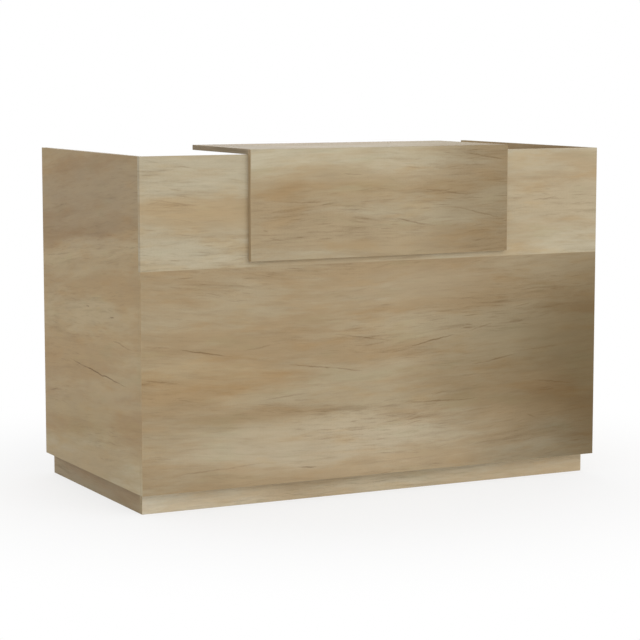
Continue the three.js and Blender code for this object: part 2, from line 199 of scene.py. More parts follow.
def oak_print(name, grain, box, seed, tone=(1, 1, 1), blots=(), splits=(),
              wild=1.0, slant=0.0, sag=0.0):
    """Printed oak for a board face. grain is the pair of axes along and across the grain, box the
    face's corners, blots are broad patches (place, reach, tint), splits are fine cracks (from, to,
    depth), wild is the strength of the fine dark marks, slant tilts the grain and sag lets its fine
    lines hang in the middle, per metre of length squared."""
    material, shader, pen = new_finish(name)
    place = pen.parts()
    along, across = place[grain[0]], place[grain[1]]
    sway = pen.cloud(along * 1.3, across * 2.5, seed, 1.0) - 0.5
    ripple = pen.cloud(along * 5, across * 13, seed + 9.2, 2.0) - 0.5
    level = across + along * slant + sway * 0.04 + ripple * 0.016

    # Broad bands of grey and tan, a faint blush and the patches.
    band = pen.cloud(along * 1.3, level * 8, seed + 1.7, 6.0, 0.66)
    color = band.eased(0.4, 0.6).mix(OAK_GREY, OAK_TAN)
    blush = pen.cloud(along * 4.5, level * 17, seed + 4.1, 4.0, 0.6)
    color = color.tint((1.0, 0.955, 0.89, 1.0), blush.eased(0.52, 0.7))
    color = color.tint((0.98, 1.01, 1.0, 1.0), blush.eased(0.46, 0.3))
    for (u, v), (reach_u, reach_v), tint in blots:
        off_u = (along - u + ripple * 0.1) / reach_u
        off_v = (level - v + ripple * 0.03) / reach_v
        away = off_u ** 2.0 + off_v ** 2.0
        color = color.tint((*tint, 1.0), away.eased(1.0, 0.0))

    # Fine dark marks, which crowd together in places, and the cracks.
    if sag:
        level = level - along * along * sag
    crowd = pen.cloud(along * 1.7, level * 7, seed + 6.6, 2.0).eased(0.4, 0.64)
    mottle = pen.cloud(along * 7, level * 26, seed + 2.3, 4.0, 0.62)
    fibre = pen.cloud(along * 12, level * 230, seed + 3.1, 2.0)
    streak = pen.cloud(along * 4.2, level * 55, seed + 5.9, 5.0, 0.68).eased(0.48, 0.72)
    thread = pen.cloud(along * 13, level * 150, seed + 8.3, 3.0, 0.62).eased(0.5, 0.74)
    marks = ticks(pen, along, level, (0.1, 0.02), (0.045, 0.0022), 0.5, 0.3, seed)
    pores = ticks(pen, along, level, (0.011, 0.0023), (0.005, 0.00035), 0.6, 0.1, seed + 3.0)
    dark = streak * (0.11 + 0.19 * crowd) + thread * (0.08 + 0.16 * crowd)
    dark = dark + pores * (0.16 + 0.2 * crowd)
    dark = (dark + marks * (0.08 + 0.3 * crowd)) * wild
    wander = (pen.cloud(along * 14, across * 8, seed + 0.5, 4.0, 0.62) - 0.5) * 0.014
    crack = cracks(along, across, wander, splits)
    if crack is not None:
        broken = pen.cloud(along * 30, across * 30, seed + 1.5, 2.0).eased(0.3, 0.6)
        dark = dark + crack * (0.35 + 0.65 * broken)

    light = 1 + (mottle - 0.5) * 0.24 + (fibre - 0.5) * 0.08
    value = pen.node("ShaderNodeCombineColor", {}, {i: light * tone[i] for i in range(3)})
    color = color.tint(value, 1.0)
    color = dark.least(0.85).mix(color, OAK_DARK)

    # The rims of the face are a little rubbed.
    low, high = box
    middle = [(low[axis] + high[axis]) / 2 for axis in grain]
    half = [(high[axis] - low[axis]) / 2 for axis in grain]
    rim = (half[0] - abs(along - middle[0])).least(half[1] - abs(across - middle[1]))
    rub = rim.eased(WORN_RIM, 0.0) * mottle.eased(0.45, 0.7)
    color = (rub * 0.2).mix(color, OAK_GREY)
    roughness = 0.5 + (mottle - 0.5) * 0.2 + dark * 0.15 + rub * 0.12
    feed(shader, color, roughness, fibre * 0.35 + mottle * 0.2 - dark, PRINT_DEPTH)
    shader.inputs["Specular IOR Level"].default_value = OAK_GLOSS
    return material


def oak_band(name, grain, seed, tone):
    """The edge band of a board: the same print, plainer, running along the edge."""
    material, shader, pen = new_finish(name)
    place = pen.parts()
    along = place[grain]
    first, second = [place[axis] for axis in range(3) if axis != grain]
    streak = pen.cloud(along * 3, (first + second) * 120 + seed, first * 40, 3.0, 0.6)
    fibre = pen.cloud(along * 14, (first + second) * 500, first * 300 + seed, 2.0)
    knock = pen.cloud(along * 60, first * 200, second * 200 + seed, 2.0).eased(0.62, 0.75)
    darker = [level * 0.9 for level in tone]
    color = streak.eased(0.35, 0.7).mix(srgb(*tone), srgb(*darker))
    color = (fibre.eased(0.6, 0.8) * 0.3).mix(color, OAK_DARK)
    color = (knock * 0.2).mix(color, OAK_GREY)
    roughness = 0.5 + (streak - 0.5) * 0.2 + knock * 0.15
    feed(shader, color, roughness, fibre * 0.4 - knock, BAND_DEPTH)
    shader.inputs["Specular IOR Level"].default_value = OAK_GLOSS
    return material


SMOOTH_UP_TO = math.radians(38)
SHARP_FROM = 0.9


def shaped(form, name, *materials):
    """A mesh of a finished form, smooth but for its sharp corners."""
    bmesh.ops.recalc_face_normals(form, faces=form.faces[:])
    for polygon in form.faces:
        polygon.smooth = True
    mesh = bpy.data.meshes.new(name)
    form.to_mesh(mesh)
    form.free()
    mesh.set_sharp_from_angle(angle=SMOOTH_UP_TO)
    for material in materials:
        mesh.materials.append(material)
    return mesh


def keep(mesh, body, node):
    """Puts a finished mesh in the scene, in place of its solid."""
    piece = bpy.data.objects.new(mesh.name, mesh)
    bpy.context.scene.collection.objects.link(piece)
    piece.modifiers.new("even shading", "WEIGHTED_NORMAL").keep_sharp = True
    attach(piece, body)
    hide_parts(node)


def round_edges(form, edges, radius, steps):
    bmesh.ops.bevel(form, geom=edges, offset=radius, segments=steps, profile=0.5, affect="EDGES")


def sharp_edges(form):
    form.normal_update()
    return [edge for edge in form.edges if edge.calc_face_angle(0.0) > SHARP_FROM]


def square_block(low, high):
    form = bmesh.new()
    bmesh.ops.create_cube(form, size=1.0)
    for corner in form.verts:
        corner.co = [low[i] + (high[i] - low[i]) * (corner.co[i] + 0.5) for i in range(3)]
    return form


def eased_block(low, high, radius):
    """A block with every edge rounded."""
    form = square_block(low, high)
    round_edges(form, form.edges[:], radius, 3)
    return form


def laminated(form, name, node, thin, face, band):
    """A laminated board in the place of its solid: print on both faces and bands on the edges."""
    form.normal_update()
    for polygon in form.faces:
        polygon.material_index = 0 if abs(polygon.normal[thin]) > 0.999 else 1
    keep(shaped(form, name, face, band), "desk", node)


BAND_EASE, CLOSE_EASE = 0.0009, 0.0004


def board(name, node, face, band, ease=BAND_EASE):
    """A plain laminated board with eased edges."""
    low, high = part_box(node)
    size = high - low
    thin = min(range(3), key=lambda axis: size[axis])
    laminated(eased_block(low, high, ease), name, node, thin, face, band)


BAND_COLOR = (176, 158, 124)
# The front rail's tone is much lighter than the side rails', though all three are one board:
# painted light that lifts the shade under the body's overhang.
front_rail_print_with_painted_light = oak_print(
    "plinth front oak with painted light", (0, 2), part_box("plinth_front_rail"), 21.0, tone=(1.32, 1.39, 1.53),
    blots=[((-0.75, 0.03), (0.5, 0.4), (1.2, 1.28, 1.4))])
# The side rails' darker tone is painted shade on the faces that look to the side.
side_rail_print_with_painted_shade = oak_print(
    "plinth side oak with painted shade", (1, 2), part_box("plinth_left_rail"), 24.0, tone=(0.83, 0.79, 0.76))
rail_band = oak_band("plinth edge band", 0, 2.0, BAND_COLOR)
rail_end_band = oak_band("plinth rail end band", 2, 2.0, BAND_COLOR)
board("plinth_front", "plinth_front_rail", front_rail_print_with_painted_light, rail_band)
for side in ("left", "right"):
    board(f"plinth_{side}", f"plinth_{side}_rail", side_rail_print_with_painted_shade, rail_end_band)

# Levelling feet: a bored beech block in each plinth corner, a zinc plated stem and a moulded pad.
# The stem has a rolled thread, a hexagon for a spanner and a slot in its top for a screwdriver.
# Its plain lower end turns in the pad's socket.


def softened(points, radius, closed=False):
    """An outline with each of its corners rounded."""
    steps = 4
    out = []
    for i, point in enumerate(points):
        corner = Vector(point)
        if not closed and i in (0, len(points) - 1):
            out.append(tuple(corner))
            continue
        back = Vector(points[i - 1]) - corner
        ahead = Vector(points[(i + 1) % len(points)]) - corner
        tangent = radius / math.tan(back.angle(ahead) / 2)
        reach = min(tangent, back.length * 0.45, ahead.length * 0.45)
        start = corner + back.normalized() * reach
        end = corner + ahead.normalized() * reach
        for step in range(steps + 1):
            t = step / steps
            out.append(tuple(start * (1 - t) ** 2 + corner * 2 * t * (1 - t) + end * t ** 2))
    return out


def ring_of(reaches, centre=(0.0, 0.0)):
    """Points evenly turned round a centre, each at its own reach."""
    angles = [math.tau * k / len(reaches) for k in range(len(reaches))]
    return [(centre[0] + reach * math.cos(angle), centre[1] + reach * math.sin(angle))
            for reach, angle in zip(reaches, angles)]


def raised_to(height, outline):
    return [(x, y, height) for x, y in outline]


def skin(form, rings, closed=False):
    """Faces between rings of points. A ring of one point closes an end."""
    made = [[form.verts.new(point) for point in ring] for ring in rings]
    for low, high in zip(made, made[1:] + made[:1] if closed else made[1:]):
        for k in range(max(len(low), len(high))):
            corners = [low[k % len(low)], low[(k + 1) % len(low)],
                       high[(k + 1) % len(high)], high[k % len(high)]]
            form.faces.new(list(dict.fromkeys(corners)))


def turned(form, profile, place, sides=48, closed=False):
    """Turns a profile of radius and height about an upright axis at a place."""
    rings = []
    for radius, height in profile:
        count = 1 if radius < 1e-7 else sides
        rings.append(raised_to(place[2] + height, ring_of([radius] * count, place)))
    skin(form, rings, closed)


def add_form(form, other, matrix=Matrix.Identity(4)):
    """Adds a form to another one, moved by a matrix."""
    bmesh.ops.transform(other, matrix=matrix, verts=other.verts)
    mesh = bpy.data.meshes.new("part")
    other.to_mesh(mesh)
    other.free()
    form.from_mesh(mesh)
    bpy.data.meshes.remove(mesh)


def thicken(form, top):
    """Makes a plate of a flat sheet by drawing a copy of its faces up to a height."""
    for part in bmesh.ops.extrude_face_region(form, geom=form.faces[:])["geom"]:
        if isinstance(part, bmesh.types.BMVert):
            part.co.z = top
    bmesh.ops.recalc_face_normals(form, faces=form.faces[:])


def cut_plate(form, outlines, bottom, top, ease, steps=3):
    """Adds a level plate of the first outline, with the others as holes, and its rims eased."""
    plate = bmesh.new()
    rims = []
    for outline in outlines:
        corners = [plate.verts.new((x, y, bottom)) for x, y in outline]
        rims += [plate.edges.new((corners[i - 1], corners[i])) for i in range(len(corners))]
    bmesh.ops.triangle_fill(plate, edges=rims, use_beauty=True)
    thicken(plate, top)
    round_edges(plate, sharp_edges(plate), ease, steps)
    add_form(form, plate)


def threaded(form, place, low, high, outer, core, pitch, sides=20):
    """A rolled screw thread round an upright axis, run out at both ends."""
    rings_per_turn = 6
    count = round((high - low) / pitch * rings_per_turn)
    rings = [[(*place, low)]]
    for i in range(count + 1):
        height = low + (high - low) * i / count
        fade = min(1.0, (height - low) / pitch, (high - height) / pitch)
        phases = [(height / pitch - k / sides) % 1.0 for k in range(sides)]
        reaches = [core + (outer - core) * (1 - abs(2 * phase - 1)) * fade for phase in phases]
        rings.append(raised_to(height, ring_of(reaches, place)))
    rings.append([(*place, high)])
    skin(form, rings)


BEECH_PALE, BEECH_ROSE, BEECH_FLECK = srgb(212, 186, 150), srgb(199, 168, 130), srgb(154, 118, 84)
BEECH_END, BEECH_PORE, BEECH_SOIL = srgb(182, 152, 118), srgb(146, 116, 86), srgb(130, 100, 70)
BEECH_GLOSS, BEECH_DEPTH = 0.25, 0.0003


def beech_wood(name, axis, seed):
    """Planed beech with its fine flecks, and end grain on the faces across the given axis."""
    material, shader, pen = new_finish(name)
    place = pen.parts()
    along = place[axis]
    first, second = [place[i] for i in range(3) if i != axis]
    growth = pen.cloud(along * 1.5, first * 45 + seed, second * 45, 3.0)
    fibre = pen.cloud(along * 14, first * 420, second * 420 + seed, 2.0)
    fleck = ticks(pen, along, first + second, (0.006, 0.0022), (0.0024, 0.0004), 0.7, 0.05, seed)
    color = growth.eased(0.35, 0.65).mix(BEECH_PALE, BEECH_ROSE)
    color = (fibre.eased(0.5, 0.8) * 0.3 + fleck * 0.6).mix(color, BEECH_FLECK)
    facing = pen.node("ShaderNodeNewGeometry", {}, {}, "Normal").parts()
    end = abs(facing[axis]).eased(0.6, 0.9)
    pore = pen.cloud(first * 900, second * 900, seed, 1.0).eased(0.52, 0.68)
    color = end.mix(color, pore.mix(BEECH_END, BEECH_PORE))
    soil = pen.cloud(first * 30 + seed, second * 30, along * 30, 3.0).eased(0.55, 0.8)
    color = (soil * 0.2).mix(color, BEECH_SOIL)
    roughness = 0.62 + (fibre - 0.5) * 0.2 + soil * 0.1
    feed(shader, color, roughness, fibre * 0.5 - fleck - pore * end, BEECH_DEPTH)
    shader.inputs["Specular IOR Level"].default_value = BEECH_GLOSS
    return material


ZINC_PALE, ZINC_GREY = srgb(198, 200, 202), srgb(176, 179, 183)
ZINC_STAIN, ZINC_BRIGHT = srgb(140, 141, 142), srgb(222, 223, 224)
ZINC_FLAKES, FINE_DEPTH = 420.0, 0.00012


def plated_steel(name, seed):
    """Zinc plate: a pale grey metal with a faint crystal pattern, rubbed and finely scratched."""
    material, shader, pen = new_finish(name)
    x, y, z = pen.parts()
    flake = pen.node("ShaderNodeTexVoronoi", {}, {"Vector": pen, "Scale": ZINC_FLAKES}, "Color")
    flake = flake.parts()[0]
    stain = pen.cloud(x * 60 + seed, y * 60, z * 60, 4.0, 0.6)
    scratch = ticks(pen, x + y, z, (0.012, 0.0016), (0.006, 0.00012), 0.5, 0.4, seed)
    color = flake.mix(ZINC_PALE, ZINC_GREY)
    color = (stain.eased(0.5, 0.8) * 0.5).mix(color, ZINC_STAIN)
    color = (scratch * 0.6).mix(color, ZINC_BRIGHT)
    roughness = 0.3 + flake * 0.1 + stain * 0.2 - scratch * 0.15
    feed(shader, color, roughness, flake * 0.3 + stain - scratch, FINE_DEPTH)
    shader.inputs["Metallic"].default_value = 1.0
    return material


PLASTIC_DUST = srgb(112, 111, 108)


def moulded_plastic(name, color, seed):
    """Black plastic with a fine spark-eroded grain, a little scuffed."""
    material, shader, pen = new_finish(name)
    x, y, z = pen.parts()
    grain = pen.cloud(x * 1800, y * 1800, z * 1800 + seed, 1.0)
    scuff = pen.cloud(x * 70 + seed, y * 70, z * 70, 4.0, 0.65).eased(0.56, 0.78)
    dust = pen.cloud(x * 240, y * 240 + seed, z * 240, 3.0).eased(0.6, 0.8)
    paler = [level * 1.25 for level in color]
    shade = grain.mix(srgb(*color), srgb(*paler))
    shade = (scuff * 0.25 + dust * 0.12).mix(shade, PLASTIC_DUST)
    feed(shader, shade, 0.48 + grain * 0.15 + scuff * 0.12, grain - scuff * 0.4, FINE_DEPTH)
    return material


def rectangle(low, high):
    return [(low.x, low.y), (high.x, low.y), (high.x, high.y), (low.x, high.y)]


block_beech = beech_wood("foot block beech", 2, 11.0)
stem_steel = plated_steel("stem zinc", 12.0)
pad_plastic = moulded_plastic("pad plastic", (44, 44, 45), 13.0)
BLOCK_EASE, PAD_EASE, STEM_EASE = 0.0008, 0.0009, 0.0006
BORE_RADIUS, SOCKET_DEPTH = 0.0053, 0.004
PAD_RADIUS, PAD_TOP_RADIUS, PAD_RIM, PAD_HEIGHT = 0.019, 0.014, 0.003, 0.008
STEM_RADIUS, THREAD_CORE, THREAD_PITCH = 0.005, 0.0042, 0.0015
HEXAGON_LIFT, HEXAGON_HEIGHT, HEXAGON_CHAMFER = 0.0067, 0.006, 0.0008
HEXAGON_FLAT, HEXAGON_ROUND, HEXAGON_POINTS = 0.0085, 0.0093, 60
SLOT_HALF_WIDTH, SLOT_DEPTH, SLOT_EASE, SLOT_STEPS = 0.0008, 0.003, 0.0003, 16
OVERLAP = 0.0005


def hexagon_collar(form, place, low, high):
    """A hexagon with its corners turned off in a chamfer above and below."""
    turn = [math.tau * k / HEXAGON_POINTS for k in range(HEXAGON_POINTS)]
    flats = [HEXAGON_FLAT / math.cos(angle % (math.pi / 3) - math.pi / 6) for angle in turn]
    rings = [[(*place, low)]]
    for height, limit in ((low, HEXAGON_FLAT), (low, HEXAGON_FLAT * 1.02),
                          (low + HEXAGON_CHAMFER, HEXAGON_ROUND),
                          (high - HEXAGON_CHAMFER, HEXAGON_ROUND),
                          (high, HEXAGON_FLAT * 1.02), (high, HEXAGON_FLAT)):
        reaches = [min(flat, limit) for flat in flats]
        rings.append(raised_to(height, ring_of(reaches, place)))
    rings.append([(*place, high)])
    skin(form, rings)


for label in ("front_left", "front_right", "back_left", "back_right"):
    low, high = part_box(f"foot_block_{label}")
    x, y = (low.x + high.x) / 2, (low.y + high.y) / 2
    form = bmesh.new()
    bore = ring_of([BORE_RADIUS] * 40, (x, y))
    cut_plate(form, [rectangle(low, high), bore], low.z, high.z, BLOCK_EASE)
    keep(shaped(form, f"block_{label}", block_beech), "desk", f"foot_block_{label}")

    low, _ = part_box(f"foot_pad_{label}")
    socket_floor = PAD_HEIGHT - SOCKET_DEPTH
    profile = [(0, 0), (PAD_RADIUS, 0), (PAD_RADIUS, PAD_RIM), (PAD_TOP_RADIUS, PAD_HEIGHT),
               (BORE_RADIUS, PAD_HEIGHT), (BORE_RADIUS, socket_floor), (0, socket_floor)]
    form = bmesh.new()
    turned(form, softened(profile, PAD_EASE), (x, y, low.z))
    keep(shaped(form, f"pad_{label}", pad_plastic), f"foot_{label}",
         f"foot_pad_{label}")

    low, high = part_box(f"foot_stem_{label}")
    collar_low = low.z + HEXAGON_LIFT
    collar_high = collar_low + HEXAGON_HEIGHT
    slot_floor = high.z - SLOT_DEPTH
    plain_top = collar_low - low.z + OVERLAP
    form = bmesh.new()
    plain = [(0, 0), (STEM_RADIUS, 0), (STEM_RADIUS, plain_top), (0, plain_top)]
    turned(form, softened(plain, STEM_EASE), (x, y, low.z), 32)
    hexagon_collar(form, (x, y), collar_low, collar_high)
    threaded(form, (x, y), collar_high - OVERLAP, slot_floor,
             STEM_RADIUS, THREAD_CORE, THREAD_PITCH)
    lean = math.asin(SLOT_HALF_WIDTH / THREAD_CORE)
    for half_turn in (0.0, math.pi):
        arc = [half_turn + lean + (math.pi - 2 * lean) * k / SLOT_STEPS
               for k in range(SLOT_STEPS + 1)]
        lip = [(x + THREAD_CORE * math.cos(a), y + THREAD_CORE * math.sin(a)) for a in arc]
        cut_plate(form, [lip], slot_floor - OVERLAP, high.z, SLOT_EASE)
    keep(shaped(form, f"stem_{label}", stem_steel), f"stem_{label}",
         f"foot_stem_{label}")

# End panels: full-height boards on both ends, standing behind the front panels.
# Laminated chipboard with the printed grain running from front to back.
end_blots = [
    ((0.0, 0.92), (0.7, 0.2), (0.88, 0.88, 0.92)),
    ((0.0, 0.84), (0.7, 0.035), (0.94, 0.9, 0.85)),
    ((0.0, 0.772), (0.7, 0.055), (1.13, 1.16, 1.19)),
    ((0.0, 0.52), (0.8, 0.24), (1.11, 1.15, 1.18)),
    ((0.05, 0.22), (0.5, 0.1), (0.98, 0.98, 0.94)),
    ((0.0, 0.08), (1.0, 0.14), (1.16, 1.31, 1.5)),
]
end_splits = [
    ((0.19, 0.407), (-0.30, 0.375), 0.85), ((-0.18, 0.506), (-0.34, 0.492), 0.4),
    ((0.39, 0.721), (0.15, 0.75), 0.3), ((-0.23, 0.793), (-0.39, 0.802), 0.3),
    ((0.40, 0.276), (0.26, 0.298), 0.4), ((0.04, 0.592), (0.01, 0.592), 0.6),
    ((-0.16, 0.577), (-0.20, 0.576), 0.6),
]
# The end print's tone is darker and warmer than the front panels': painted shade on faces that look
# to the side.
end_print_with_painted_shade = oak_print(
    "end oak with painted shade", (1, 2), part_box("left_end_panel"), 31.0, tone=(0.96, 0.875, 0.765),
    blots=end_blots, splits=end_splits, wild=0.6, slant=0.1)
end_band = oak_band("end band", 2, 3.0, (168, 150, 120))
for side in ("left", "right"):
    board(f"{side}_end", f"{side}_end_panel", end_print_with_painted_shade, end_band, CLOSE_EASE)

# Base board: lies on the front rail behind the lower front panel, notched round the side rails.
# A laminated board like the others, seen from the staff side only.
low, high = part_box("base_board")
rail_low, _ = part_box("plinth_right_rail")
notched = [(low.x, low.y), (high.x, low.y), (high.x, rail_low.y), (rail_low.x, rail_low.y),
           (rail_low.x, high.y), (-rail_low.x, high.y), (-rail_low.x, rail_low.y),
           (low.x, rail_low.y)]
base_print = oak_print("base oak", (0, 1), (low, high), 51.0)
inner_band = oak_band("inner edge band", 0, 7.0, BAND_COLOR)
form = bmesh.new()
cut_plate(form, [notched], low.z, high.z, BAND_EASE)
laminated(form, "base", "base_board", 2, base_print, inner_band)

# Front panels: two full-width boards, one on top of the other, that close the visitor side.
# The print is wilder on the lower one, which darkens towards the right end.
# Four fluted beech dowels keep the two edges in line.
lower_blots = [
    ((1.1, 0.4), (1.1, 0.9), (0.72, 0.7, 0.66)),
    ((1.0, 0.36), (0.6, 0.5), (0.62, 0.57, 0.48)),
    ((0.5, 0.32), (0.5, 0.4), (0.87, 0.87, 0.85)),
    ((0.12, 0.65), (0.35, 0.07), (1.04, 1.1, 1.19)),
    ((0.8, 0.1), (0.5, 0.13), (0.88, 0.91, 0.94)),
    ((0.05, 0.155), (1.0, 0.14), (1.23, 1.28, 1.39)),
    ((0.62, 0.31), (0.16, 0.06), (1.04, 0.98, 0.93)),
    ((-0.6, 0.40), (0.4, 0.1), (1.02, 0.97, 0.9)),
]
lower_splits = [
    ((-0.79, 0.512), (-0.71, 0.501), 0.4), ((-0.68, 0.495), (-0.50, 0.464), 0.6),
    ((-0.47, 0.478), (-0.34, 0.498), 0.3), ((-0.32, 0.431), (-0.06, 0.394), 0.6),
    ((-0.16, 0.515), (0.05, 0.482), 0.4), ((0.11, 0.461), (0.27, 0.490), 0.7),
    ((0.32, 0.498), (0.41, 0.519), 0.4), ((0.33, 0.389), (0.50, 0.415), 0.6),
    ((0.51, 0.424), (0.67, 0.433), 0.4), ((0.55, 0.324), (0.72, 0.305), 0.7),
    ((-0.80, 0.411), (-0.68, 0.394), 0.5), ((-0.40, 0.326), (-0.24, 0.337), 0.35),
    ((0.07, 0.283), (0.38, 0.279), 0.5), ((0.28, 0.355), (0.41, 0.358), 0.35),
    ((-0.29, 0.111), (-0.22, 0.105), 0.6), ((-0.70, 0.116), (-0.40, 0.133), 0.35),
    ((0.54, 0.215), (0.58, 0.198), 0.5), ((0.41, 0.588), (0.48, 0.586), 0.4),
]
lower_print = oak_print(
    "lower front oak", (0, 2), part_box("lower_front_panel"), 41.0, tone=(0.9, 0.88, 0.86),
    blots=lower_blots, splits=lower_splits, sag=0.06)
# The lower panel's end edges take the end print, with its painted side shade.
board("lower_front", "lower_front_panel", lower_print, end_print_with_painted_shade, CLOSE_EASE)
upper_blots = [
    ((-0.64, 0.905), (0.3, 0.06), (1.0, 0.94, 0.86)),
    ((0.65, 0.92), (0.35, 0.15), (0.93, 0.87, 0.81)),
]
upper_splits = [((-0.77, 0.943), (-0.61, 0.921), 0.3), ((0.55, 0.91), (0.74, 0.908), 0.3)]
upper_print = oak_print(
    "upper front oak", (0, 2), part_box("upper_front_panel"), 46.0, tone=(1.045, 1.1, 1.18),
    blots=upper_blots, splits=upper_splits, wild=0.75)
board("upper_front", "upper_front_panel", upper_print, upper_print, CLOSE_EASE)
DOWEL_POINTS, DOWEL_CHAMFER, DOWEL_TIP, FLUTE = 48, 0.001, 0.75, 0.93
dowel_beech = beech_wood("dowel beech", 2, 17.0)


def fluted_dowel(node):
    """A beech peg with pressed flutes and chamfered ends."""
    low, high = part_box(node)
    x, y, radius = (low.x + high.x) / 2, (low.y + high.y) / 2, (high.x - low.x) / 2
    rings = [[(x, y, low.z)]]
    for height, share in ((low.z, DOWEL_TIP), (low.z + DOWEL_CHAMFER, 1.0),
                          (high.z - DOWEL_CHAMFER, 1.0), (high.z, DOWEL_TIP)):
        reaches = [radius * share * (FLUTE if k % 4 == 0 else 1.0) for k in range(DOWEL_POINTS)]
        rings.append(raised_to(height, ring_of(reaches, (x, y))))
    rings.append([(x, y, high.z)])
    form = bmesh.new()
    skin(form, rings)
    keep(shaped(form, f"peg_{node}", dowel_beech), "desk", node)


for number in range(1, 5):
    fluted_dowel(f"front_joint_dowel_{number}")

# Corner brackets: zinc plated steel angles, bent from plate, between the front and end panels.
# Each has two countersunk screws with a cross recess in each leg.
BRACKET_THICK, BRACKET_BEND, BRACKET_CORNER, BRACKET_EASE = 0.0025, 0.0045, 0.006, 0.0004
SCREW_REACH, SCREW_EDGE = 0.026, 0.014
HEAD_RADIUS, HEAD_PROUD, RECESS_ARM, RECESS_FLOOR = 0.0038, 0.0006, 0.0023, -0.0012
FOLDS = 6
bracket_steel = plated_steel("bracket zinc", 15.0)


def bent_plate(leg, height):
    """A plate with rounded corners, bent at its middle into two legs along +X and +Y."""
    form = bmesh.new()
    flat, arc = leg - BRACKET_BEND, math.pi / 2 * (BRACKET_BEND - BRACKET_THICK / 2)
    folds = [-arc * step / FOLDS for step in range(FOLDS + 1)]
    low = [form.verts.new((s, 0, 0)) for s in folds]
    high = [form.verts.new((s, height, 0)) for s in folds]
    for i in range(FOLDS):
        form.faces.new((low[i], low[i + 1], high[i + 1], high[i]))
    for fold, way in ((0, 1), (FOLDS, -1)):
        root, tip = folds[fold], folds[fold] + way * flat
        outline = softened([(root, 0), (tip, 0), (tip, height), (root, height)], BRACKET_CORNER)
        corners = [form.verts.new((s, z, 0)) for s, z in outline[1:-1]]
        form.faces.new([low[fold]] + corners + [high[fold]])
    thicken(form, BRACKET_THICK)
    round_edges(form, sharp_edges(form), BRACKET_EASE, 2)
    for corner in form.verts:
        s, z, depth = corner.co
        turn = min(max(-s / arc, 0.0), 1.0) * math.pi / 2
        ahead, aside = max(s, 0.0), max(-s - arc, 0.0)
        reach = BRACKET_BEND - depth
        corner.co = (BRACKET_BEND + ahead - reach * math.sin(turn),
                     BRACKET_BEND + aside - reach * math.cos(turn), z)
    return form


def screw_head(radius, proud):
    """The top of a countersunk screw with a cross recess, facing +Z."""
    form = bmesh.new()
    arm, half = RECESS_ARM, RECESS_ARM * 0.26
    cross = [(arm, half), (half, half), (half, arm), (-half, arm), (-half, half), (-arm, half),
             (-arm, -half), (-half, -half), (-half, -arm), (half, -arm), (half, -half),
             (arm, -half)]
    cut_plate(form, [ring_of([radius] * 32), cross], RECESS_FLOOR, proud, 0.0002, 2)
    cut_plate(form, [ring_of([radius * 0.8] * 32)],
              RECESS_FLOOR - 0.0002, RECESS_FLOOR + 0.0002, 0.00005, 1)
    return form


toward_y, toward_x = Matrix.Rotation(-math.pi / 2, 4, "X"), Matrix.Rotation(math.pi / 2, 4, "Y")
for side, quarter in (("left", 0.0), ("right", math.pi / 2)):
    for level in ("low", "middle", "high"):
        node = f"corner_bracket_{side}_{level}"
        low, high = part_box(node)
        tall = high.z - low.z
        form = bent_plate(high.x - low.x, tall)
        for height in (SCREW_EDGE, tall - SCREW_EDGE):
            on_front = Matrix.Translation((SCREW_REACH, BRACKET_THICK, height)) @ toward_y
            on_end = Matrix.Translation((BRACKET_THICK, SCREW_REACH, height)) @ toward_x
            for spot in (on_front, on_end):
                add_form(form, screw_head(HEAD_RADIUS, HEAD_PROUD), spot)
        inner = Matrix.Translation((low.x if side == "left" else high.x, low.y, low.z))
        turn = Matrix.Rotation(quarter, 4, "Z")
        bmesh.ops.transform(form, matrix=inner @ turn, verts=form.verts)
        keep(shaped(form, f"bracket_{side}_{level}", bracket_steel), "desk", node)

# Bearers and worktop: planed beech battens screwed inside the body carry the staff worktop.
# The worktop is a thicker laminated board with two round holes for cables.
BEARER_EASE, CABLE_HOLE_RADIUS = 0.0015, 0.04
for place, axis in (("front", 0), ("left", 1), ("right", 1)):
    node = f"worktop_bearer_{place}"
    bearer_beech = beech_wood(f"{place} bearer beech", axis, 19.0)
    form = eased_block(*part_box(node), BEARER_EASE)
    keep(shaped(form, f"bearer_{place}", bearer_beech), "desk", node)
low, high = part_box("worktop")
sleeve_low, sleeve_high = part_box("grommet_sleeve_right")
grommet_x, grommet_y = (sleeve_low.x + sleeve_high.x) / 2, (sleeve_low.y + sleeve_high.y) / 2
worktop_top = high.z
cable_holes = [ring_of([CABLE_HOLE_RADIUS] * 64, (sign * grommet_x, grommet_y))
               for sign in (-1, 1)]
worktop_print = oak_print("worktop oak", (0, 1), (low, high), 54.0)
form = bmesh.new()
cut_plate(form, [rectangle(low, high)] + cable_holes, low.z, high.z, BAND_EASE)
laminated(form, "worktop_board", "worktop", 2, worktop_print, inner_band)

# Cable grommets: a moulded sleeve with a flange in each hole, and a cap that turns on its ledge.
# The cap has a skirt below and a slot at one side for the cables.
SLEEVE_OUTER, SLEEVE_INNER, SLEEVE_DEPTH, SLEEVE_EASE = 0.0397, 0.0365, 0.022, 0.0011
FLANGE_RADIUS, FLANGE_HEIGHT, FLANGE_SEAT, CAP_SEAT, LEDGE = 0.045, 0.003, 0.0002, 0.0383, 0.0006
PLATE_RADIUS, PLATE_BOTTOM, PLATE_EASE = 0.038, 0.0009, 0.0005
SKIRT_OUTER, SKIRT_INNER, SKIRT_BOTTOM, SKIRT_TOP, SKIRT_EASE = (
    0.0362, 0.0342, -0.0074, PLATE_BOTTOM + 0.0006, 0.0003)
CABLE_SLOT_HALF, CABLE_SLOT_CENTRE, CABLE_SLOT_STEPS = 0.017, 0.028, 20
CAP_STEPS = 72
grommet_plastic = moulded_plastic("grommet plastic", (52, 52, 54), 16.0)


def open_arc(radius):
    """Points round a circle from one side of the cable slot at +Y to the other."""
    lean = math.acos(CABLE_SLOT_HALF / radius)
    angles = [math.pi - lean + (math.pi + 2 * lean) * k / CAP_STEPS for k in range(CAP_STEPS + 1)]
    return [(radius * math.cos(a), radius * math.sin(a)) for a in angles]


